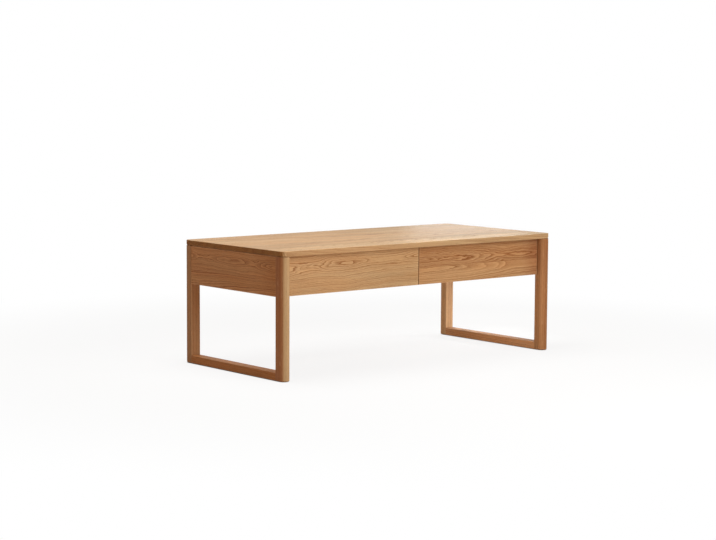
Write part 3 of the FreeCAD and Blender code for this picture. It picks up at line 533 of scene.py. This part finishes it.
def metal(name, color, roughness, streaks):
    """Plated steel: cloudy plating with fine streaks along the drawn length."""
    material, tree, shader, coords = new_material(name)
    cloud = stretched_noise(tree, coords["Object"], CLOUD_STRETCH, CLOUD_SHIFT, 3.0).outputs[0]
    lines = stretched_noise(tree, coords["Object"], streaks, STREAK_SHIFT, 2.0).outputs[0]
    dull = [part * DULL_TINT for part in color] + [1]
    pale = [min(1.0, part * PALE_TINT) for part in color] + [1]
    connect(tree, shader.inputs["Base Color"], mix(tree, ramp(tree, cloud, *CLOUD_EDGE), dull, pale))
    clouded = span(tree, cloud, roughness - CLOUD_SHINE, roughness + CLOUD_SHINE)
    streaked = span(tree, lines, -STREAK_SHINE, STREAK_SHINE)
    connect(tree, shader.inputs["Roughness"], plus(tree, clouded, streaked))
    shader.inputs["Metallic"].default_value = 1.0
    emboss(tree, shader, lines, STREAK_STRENGTH, STREAK_RELIEF)
    return material


FIBRE_STRETCH = (2500, 2500, 2500)
CLUMP_STRETCH = (220, 220, 220)
CLUMP_SHIFT = (5, 5, 5)
CLUMP_SHADE = (0.7, 1.3)
FELT_EDGE = (0.25, 0.75)
FELT_DARK = (0.045, 0.03, 0.02, 1)
FELT_PALE = (0.13, 0.095, 0.065, 1)
FELT_ROUGHNESS = 0.95
FELT_SHEEN = 0.3
FIBRE_STRENGTH = 0.8
FIBRE_RELIEF = 0.0004


def felt(name):
    """Pressed felt: short fibres in every direction."""
    material, tree, shader, coords = new_material(name)
    fibres = stretched_noise(tree, coords["Object"], FIBRE_STRETCH, (0, 0, 0), 3.0, 0.7).outputs[0]
    clumps = stretched_noise(tree, coords["Object"], CLUMP_STRETCH, CLUMP_SHIFT, 2.0).outputs[0]
    shade = times(tree, fibres, span(tree, clumps, *CLUMP_SHADE))
    connect(tree, shader.inputs["Base Color"], mix(tree, ramp(tree, shade, *FELT_EDGE), FELT_DARK, FELT_PALE))
    shader.inputs["Roughness"].default_value = FELT_ROUGHNESS
    shader.inputs["Sheen Weight"].default_value = FELT_SHEEN
    emboss(tree, shader, shade, FIBRE_STRENGTH, FIBRE_RELIEF)
    return material


FINISHES = {
    "zinc_steel": metal("zinc_steel", (0.60, 0.61, 0.62), 0.36, (1500, 6, 1500)),
    "bearing_steel": metal("bearing_steel", (0.66, 0.66, 0.66), 0.2, (900, 900, 900)),
    "screw_steel": metal("screw_steel", (0.58, 0.57, 0.53), 0.32, (1200, 1200, 1200)),
    "felt": felt("felt"),
}
for part in frame["record"]["subparts"]:
    if part["material_slot"] in FINISHES:
        nodes[part["node"]].data.materials[0] = FINISHES[part["material_slot"]]

BODY_OF = {node: body for body, members in frame["record"]["behaviour"]["bodies"].items() for node in members}
SHARP_ANGLE = math.radians(35)


# surfaces made from points
def grid_faces(rows, columns):
    """Four-sided faces of a grid of points, stored row after row, whose last column joins its first."""
    first = np.arange((rows - 1) * columns).reshape(rows - 1, columns)
    following = np.roll(first, -1, axis=1)
    return np.stack([first, following, following + columns, first + columns], axis=-1).reshape(-1, 4)


def new_piece(name, points, faces, slot, node):
    """A mesh that stands for a CAD node, with its finish and its body, smooth but for its sharp edges."""
    mesh = bpy.data.meshes.new(name)
    mesh.from_pydata(points.tolist(), [], faces)
    shell = bmesh.new()
    shell.from_mesh(mesh)
    bmesh.ops.recalc_face_normals(shell, faces=shell.faces)
    shell.to_mesh(mesh)
    shell.free()
    mesh.shade_smooth()
    mesh.set_sharp_from_angle(angle=SHARP_ANGLE)
    mesh.materials.append(FINISHES[slot])
    piece = bpy.data.objects.new(name, mesh)
    scene.collection.objects.link(piece)
    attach(piece, BODY_OF[node])
    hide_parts(node)


def separate_solids(node):
    """Corners of each separate solid of a CAD node: triangles that share a corner belong to one solid."""
    mesh = nodes[node].data
    corners = np.empty(len(mesh.vertices) * 3)
    mesh.vertices.foreach_get("co", corners)
    triangles = np.empty(len(mesh.loops), dtype=np.int32)
    mesh.loops.foreach_get("vertex_index", triangles)
    points, numbers = np.unique(corners.reshape(-1, 3).round(6), axis=0, return_inverse=True)
    triangles = numbers.ravel()[triangles].reshape(-1, 3)
    solid, before = np.arange(len(points)), None
    while not np.array_equal(solid, before):
        before = solid.copy()
        np.minimum.at(solid, triangles, solid[triangles].min(axis=1, keepdims=True))
    return [points[solid == one] for one in np.unique(solid)]


def arc(middle, radius, start, stop, count=8):
    """Points along an arc, at evenly spaced angles from start to stop in degrees."""
    angles = np.radians(np.linspace(start, stop, count))
    return np.stack([middle[0] + radius * np.cos(angles), middle[1] + radius * np.sin(angles)], axis=-1)


def line_normals(line):
    """At each point of a line, the unit vector square to the way from the point before to the point after."""
    run = np.gradient(line, axis=0)
    return np.stack([-run[:, 1], run[:, 0]], axis=-1) / np.linalg.norm(run, axis=1, keepdims=True)


# rolled slide channels: thickness, bend and race of the steel, and the balls' line off the case
GAUGE = 0.0012
BEND = 0.0017
RACE = 0.0029
BALL_LINE = 0.0074


def rolled_line(depth, half, ball, lip):
    """Middle line of a rolled C: a web, a quarter-circle bend at each edge, and a flange out to the tip.

    Where there is a lip, the flange follows an arc past the balls' line: in towards the web's middle for
    a lip of 1, out and away from it for a lip of -1.
    """
    level = half - GAUGE / 2
    bend = arc((GAUGE / 2 + BEND, level - BEND), BEND, 180, 90)
    if lip:
        sweep = math.degrees(math.asin((depth - ball - GAUGE / 4) / RACE))
        tip = arc((ball, level - lip * RACE), RACE, 90 * lip, (90 - sweep) * lip)
    else:
        tip = np.array([[depth, level]])
    upper = np.concatenate([bend, tip])
    return np.concatenate([(upper * (1, -1))[::-1], upper])


def rolled_channel(node, face, way, lip):
    """A slide channel: the rolled line, made as thick as its steel, carried along the slide.

    A point of the outline is a point of the line plus or minus half the gauge times the line's normal,
    and the surface takes that outline from the slide's front end to its back end.
    """
    low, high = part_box(node)
    reach = sorted(abs(x - face) for x in (low.x, high.x))
    web, tip = reach if lip >= 0 else reach[::-1]
    line = rolled_line(abs(tip - web), (high.z - low.z) / 2, abs(BALL_LINE - web), lip)
    normal = line_normals(line) * GAUGE / 2
    outline = np.concatenate([line + normal, (line - normal)[::-1]])
    across = face + way * (web + math.copysign(1, tip - web) * outline[:, 0])
    upright = (low.z + high.z) / 2 + outline[:, 1]
    ends = [np.stack([across, np.full_like(across, y), upright], axis=-1) for y in (low.y, high.y)]
    count = len(outline)
    step = np.arange(len(line) - 1)
    cap = np.stack([step, step + 1, count - 2 - step, count - 1 - step], axis=-1)
    faces = grid_faces(2, count).tolist() + cap.tolist() + (cap + count).tolist()
    new_piece(f"rolled_{node}", np.concatenate(ends), faces, "zinc_steel", node)


# bent brackets
BRACKET_GAUGE = 0.002
BRACKET_BEND = 0.0025
BRACKET_CORNER = 0.005
BRACKET_CORNERS = 4
CORNER_POINTS = 7


def bracket_points(leg, width):
    """An angle bracket as rings of four corners along its middle line, round the bend from tip to tip.

    The line runs up the panel, round a quarter circle and out under the top. Close to a tip the width
    follows a quarter circle too: at the angle t it is narrower by twice the corner's radius times
    1 - sin t, and the distance from the tip is that radius times 1 - cos t.
    """
    middle = BRACKET_GAUGE / 2
    angles = np.radians(np.linspace(0, 90, CORNER_POINTS))
    tip = leg - BRACKET_CORNER * (1 - np.cos(angles))
    corner = width / 2 - BRACKET_CORNER * (1 - np.sin(angles))
    upright = np.stack([np.full_like(tip, middle), -tip], axis=-1)
    bend = arc((middle + BRACKET_BEND, -middle - BRACKET_BEND), BRACKET_BEND, 180, 90)
    line = np.concatenate([upright, bend, -upright[::-1, ::-1]])
    half = np.concatenate([corner, np.full(len(bend), width / 2), corner[::-1]])
    normal = line_normals(line) * middle
    outer, inner = line + normal, line - normal
    rings = [np.stack([spot[:, 0], side * half, spot[:, 1]], axis=-1)
             for spot, side in ((outer, 1), (outer, -1), (inner, -1), (inner, 1))]
    return np.stack(rings, axis=1).reshape(-1, 3)


def bent_brackets(node):
    """The brackets under the top, each in the place of a solid of the node, its foot towards the room."""
    points, faces, first = [], [], 0
    for corners in separate_solids(node):
        low, high = corners.min(axis=0), corners.max(axis=0)
        middle = (low + high) / 2
        foot_away = middle - corners[corners[:, 2] < middle[2]].mean(axis=0)
        axis = np.argmax(np.abs(foot_away[:2]))
        way = np.zeros(3)
        way[axis] = np.sign(foot_away[axis])
        aside = np.cross((0, 0, 1), way)
        seat = np.where(way > 0, low, np.where(way < 0, high, middle))
        seat[2] = high[2]
        own = bracket_points(high[2] - low[2], (high - low)[1 - axis])
        points.append(seat + own @ np.stack([way, aside, (0, 0, 1)]))
        ring = np.arange(BRACKET_CORNERS)
        tips = [ring, len(own) - 1 - ring]
        sides = grid_faces(len(own) // BRACKET_CORNERS, BRACKET_CORNERS)
        faces += (np.concatenate([sides, tips]) + first).tolist()
        first += len(own)
    new_piece(f"bent_{node}", np.concatenate(points), faces, "zinc_steel", node)


# screws: the head with its cross and round rim, the thread and the point
HEAD_RADIUS = 0.00375
HEAD_HEIGHT = 0.0016
RIM = 0.0008
RIM_LEVEL = -0.0006
UNDER_ARRIS = 0.0001
CROSS_WIDTH = 0.0011
ARM_INSIDE = 0.9
ARM_OUTSIDE = 1.1
ARM_LIMIT = 0.24 * math.pi
SHANK_RADIUS = 0.002
CORE_SHARE = 0.72
PITCH = 0.0016
THREAD_START = 0.0006
POINT_LENGTH = 0.0035
POINT_SHARE = 0.04
RINGS_PER_PITCH = 6
RING_POINTS = 24
SCREW_TURN = 0.7
QUARTERS = np.arange(4)[:, None] * math.pi / 2

# rings of the head: radius, drop from its top, depth in the arms of the cross and depth between them
HEAD_RINGS = [
    (0.00008, 0, 0.0012, 0.0012),
    (0.0005, 0, 0.0011, 0.001),
    (0.0009, 0, 0.001, 0),
    (0.0018, 0, 0.0007, 0),
    (0.0022, 0, 0.0005, 0),
    (0.0024, 0.00006, 0, 0),
]


def head_ring(radius, drop, sunk, core):
    """A ring of the head: six points in each quarter turn, of which three lie in an arm of the cross.

    The arm's edges are where the distance to its axis is half the cross's width. The points in the arm are
    sunk by that depth, and those between the arms by the core's depth.
    """
    edge = math.asin(min(CROSS_WIDTH / 2 / radius, math.sqrt(0.5)))
    inside = ARM_INSIDE * edge
    outside = min(ARM_OUTSIDE * edge, ARM_LIMIT)
    quarter = np.array([0, inside, outside, math.pi / 4, math.pi / 2 - outside, math.pi / 2 - inside])
    angles = (QUARTERS + quarter).ravel()
    depth = np.tile([sunk, sunk, core, core, core, sunk], 4)
    return np.stack([radius * np.cos(angles), radius * np.sin(angles), drop - HEAD_HEIGHT + depth], axis=-1)


def screw_points(length):
    """A screw along its own axis, as rings of points from the middle of its head to its tip.

    The head is domed, with a sunk cross and a round rim. The shank's radius is its core plus a triangle
    wave that climbs one pitch in a turn, and it narrows to a point.
    """
    head = [head_ring(*ring) for ring in HEAD_RINGS]
    angles = np.arange(RING_POINTS) * math.tau / RING_POINTS
    rim = arc((HEAD_RADIUS - RIM, RIM_LEVEL), RIM, -90, 0, 6)
    under = [(HEAD_RADIUS, -UNDER_ARRIS), (HEAD_RADIUS - UNDER_ARRIS, 0), (SHANK_RADIUS, 0)]
    profile = np.concatenate([rim, under])
    levels = np.arange(THREAD_START, length, PITCH / RINGS_PER_PITCH)
    taper = np.clip((length - levels) / POINT_LENGTH, POINT_SHARE, 1)[:, None]
    climb = (levels[:, None] / PITCH - angles / math.tau) % 1
    crest = 1 - np.abs(2 * climb - 1)
    thread = SHANK_RADIUS * (CORE_SHARE + (1 - CORE_SHARE) * crest) * taper
    radii = np.concatenate([np.repeat(profile[:, :1], RING_POINTS, axis=1), thread])
    heights = np.concatenate([profile[:, 1], levels])[:, None] + np.zeros(RING_POINTS)
    body = np.stack([radii * np.cos(angles), radii * np.sin(angles), heights], axis=-1)
    return np.concatenate([np.concatenate(head), body.reshape(-1, 3)])


def screw_place(corners):
    """Where the underside of a screw's head sits, the way the screw points, and the length of its shank."""
    low, high = corners.min(axis=0), corners.max(axis=0)
    middle, half = (low + high) / 2, (high - low) / 2
    axis = np.argmax(half)
    aside = np.linalg.norm(np.delete(corners - middle, axis, axis=1), axis=1)
    head = corners[aside > (SHANK_RADIUS + HEAD_RADIUS) / 2]
    ahead = np.zeros(3)
    ahead[axis] = np.sign(middle[axis] - head[:, axis].mean())
    return middle - ahead * (half[axis] - HEAD_HEIGHT), ahead, round(2 * half[axis] - HEAD_HEIGHT, 5)


def cross_screws(node):
    """Screws of one node, in the places of its solids, each turned in by its own angle."""
    points, faces, first = [], [], 0
    for number, solid in enumerate(separate_solids(node)):
        place, ahead, length = screw_place(solid)
        spin = Matrix.Rotation(SCREW_TURN * number, 3, "Z")
        turn = Vector(ahead).to_track_quat("Z", "Y").to_matrix() @ spin
        own = screw_points(length)
        points.append(own @ np.array(turn).T + place)
        rings = grid_faces(len(own) // RING_POINTS, RING_POINTS)
        ring = np.arange(RING_POINTS)
        ends = np.stack([ring, ring + len(own) - RING_POINTS])
        faces += (rings + first).tolist() + (ends + first).tolist()
        first += len(own)
    new_piece(f"turned_{node}", np.concatenate(points), faces, "screw_steel", node)


for side, outer_way in (("left", 1), ("right", -1)):
    for name, way in (("outer", outer_way), ("inner", -outer_way)):
        low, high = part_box(f"{side}_{name}_case_channel")
        face = low.x if way > 0 else high.x
        for kind, lip in (("case", 1), ("middle", 0), ("drawer", -1)):
            rolled_channel(f"{side}_{name}_{kind}_channel", face, way, lip)
bent_brackets("top_brackets")
for node in list(nodes):
    if node.endswith("_screws"):
        cross_screws(node)


# floor, background, lamps and camera
FLOOR_REACH = 30.0
FLOOR_COLOR = (0.68, 0.53, 0.42, 1)
FLOOR_SEEN = (0.93, 0.93, 0.92, 1)
FLOOR_WHITE = 0.85
FLOOR_FADE = (0.9, 2.2)
CONTACT_REACH = 0.04
CONTACT_EDGE = (0.1, 0.6)
AMBIENT_COLOR = (1.0, 0.80, 0.64, 1)
AMBIENT = 0.17


def seen_share(tree):
    """1 for what the camera sees directly, in a reflection or through glass; 0 for light on surfaces."""
    path = add(tree, "LightPath").outputs
    mirrored = calc(tree, "MAXIMUM", path["Is Glossy Ray"], path["Is Transmission Ray"])
    return calc(tree, "MAXIMUM", path["Is Camera Ray"], mirrored)


def make_floor():
    """A wide pale floor, near white where it is seen, with the table's soft shadow; clear from below."""
    mesh = bpy.data.meshes.new("floor")
    corners = [(x * FLOOR_REACH, y * FLOOR_REACH, 0) for x, y in ((-1, -1), (1, -1), (1, 1), (-1, 1))]
    mesh.from_pydata(corners, [], [(0, 1, 2, 3)])
    floor = bpy.data.objects.new("floor", mesh)
    scene.collection.objects.link(floor)
    material = bpy.data.materials.new("pale_floor")
    material.use_nodes = True
    tree = material.node_tree
    tree.nodes.clear()
    seen = seen_share(tree)
    matt = add(tree, "BsdfDiffuse", {"Color": mix(tree, seen, FLOOR_COLOR, FLOOR_SEEN)}).outputs[0]
    white = add(tree, "Emission", {"Color": WHITE, "Strength": 1.0}).outputs[0]
    place = add(tree, "TexCoord").outputs["Object"]
    distance = add(tree, "VectorMath", {0: place}, operation="LENGTH").outputs["Value"]
    far_white = span(tree, ramp(tree, distance, *FLOOR_FADE), FLOOR_WHITE, 1.0)
    open_air = add(tree, "AmbientOcclusion", {"Distance": CONTACT_REACH}).outputs["AO"]
    lit = times(tree, ramp(tree, open_air, *CONTACT_EDGE), far_white)
    upper = add(tree, "MixShader", {0: times(tree, seen, lit), 1: matt, 2: white}).outputs[0]
    clear = add(tree, "BsdfTransparent").outputs[0]
    below = times(tree, add(tree, "NewGeometry").outputs["Backfacing"], seen)
    both = add(tree, "MixShader", {0: below, 1: upper, 2: clear}).outputs[0]
    connect(tree, add(tree, "OutputMaterial").inputs["Surface"], both)
    mesh.materials.append(material)


def make_background():
    """White where it is seen, and a dim warm light on surfaces."""
    world = bpy.data.worlds.new("studio")
    scene.world = world
    world.use_nodes = True
    sky = world.node_tree
    sky.nodes.clear()
    soft = add(sky, "Background", {"Color": AMBIENT_COLOR, "Strength": AMBIENT}).outputs[0]
    bright = add(sky, "Background", {"Color": WHITE, "Strength": 1.0}).outputs[0]
    whole = add(sky, "MixShader", {0: seen_share(sky), 1: soft, 2: bright}).outputs[0]
    connect(sky, add(sky, "OutputWorld").inputs["Surface"], whole)


def softbox(name, place, aim, size, watts, spread=180):
    """A rectangular area lamp at a place, turned to face its aim, whose beam spreads by this many degrees."""
    lamp = bpy.data.lights.new(name, "AREA")
    lamp.shape = "RECTANGLE"
    lamp.size, lamp.size_y = size
    lamp.energy = watts
    lamp.spread = math.radians(spread)
    box = bpy.data.objects.new(name, lamp)
    box.location = place
    box.rotation_euler = (Vector(aim) - Vector(place)).to_track_quat("-Z", "Y").to_euler()
    box.visible_camera = False
    scene.collection.objects.link(box)


make_floor()
make_background()
TABLE_MIDDLE = (0, 0, 0.3)
softbox("front_softbox", (0.2, -2.75, 1.5), TABLE_MIDDLE, size=(2.2, 1.9), watts=54)
softbox("overhead_softbox", (-0.5, 0.2, 2.4), TABLE_MIDDLE, size=(1.8, 1.6), watts=38)
softbox("rear_softbox", (1.15, 0.75, 0.62), (0.4, 0.1, 0.42), size=(0.5, 0.25), watts=1.6)
softbox("low_front_softbox", (0.3, -2.4, 0.17), (0.3, 0.25, 0.14), size=(1.2, 0.25), watts=5)
softbox("low_side_softbox", (-0.3, -0.22, 0.16), (0.58, -0.12, 0.16), size=(0.3, 0.1), watts=0.2, spread=60)
softbox("right_softbox", (1.25, -0.02, 0.25), (0.582, 0.15, 0.07), size=(0.4, 0.06), watts=0.64, spread=45)

CAMERA_PLACE = (-4.2609, -5.07196, 0.98907)
CAMERA_HEADING = math.radians(39.6125)
CAMERA_TILT = math.radians(5.9236)
CAMERA_ROLL = math.radians(0.3115)
SENSOR_WIDTH = 36.0
FOCAL_LENGTH = 96.069


def place_camera():
    """The camera fitted to the edges of the table: its place, heading, tilt, roll and focal length."""
    heading, tilt, roll = CAMERA_HEADING, CAMERA_TILT, CAMERA_ROLL
    level_ahead = Vector((math.sin(heading), math.cos(heading), 0))
    ahead = math.cos(tilt) * level_ahead - math.sin(tilt) * AXES["z"]
    level = Vector((math.cos(heading), -math.sin(heading), 0))
    upright = level.cross(ahead)
    right = math.cos(roll) * level + math.sin(roll) * upright
    up = math.cos(roll) * upright - math.sin(roll) * level
    lens = bpy.data.cameras.new("camera")
    lens.sensor_fit = "HORIZONTAL"
    lens.sensor_width = SENSOR_WIDTH
    lens.lens = FOCAL_LENGTH
    camera = bpy.data.objects.new("camera", lens)
    camera.matrix_world = Matrix((right, up, -ahead)).transposed().to_4x4()
    camera.location = CAMERA_PLACE
    scene.collection.objects.link(camera)
    scene.camera = camera


place_camera()
scene.view_settings.view_transform = "Standard"
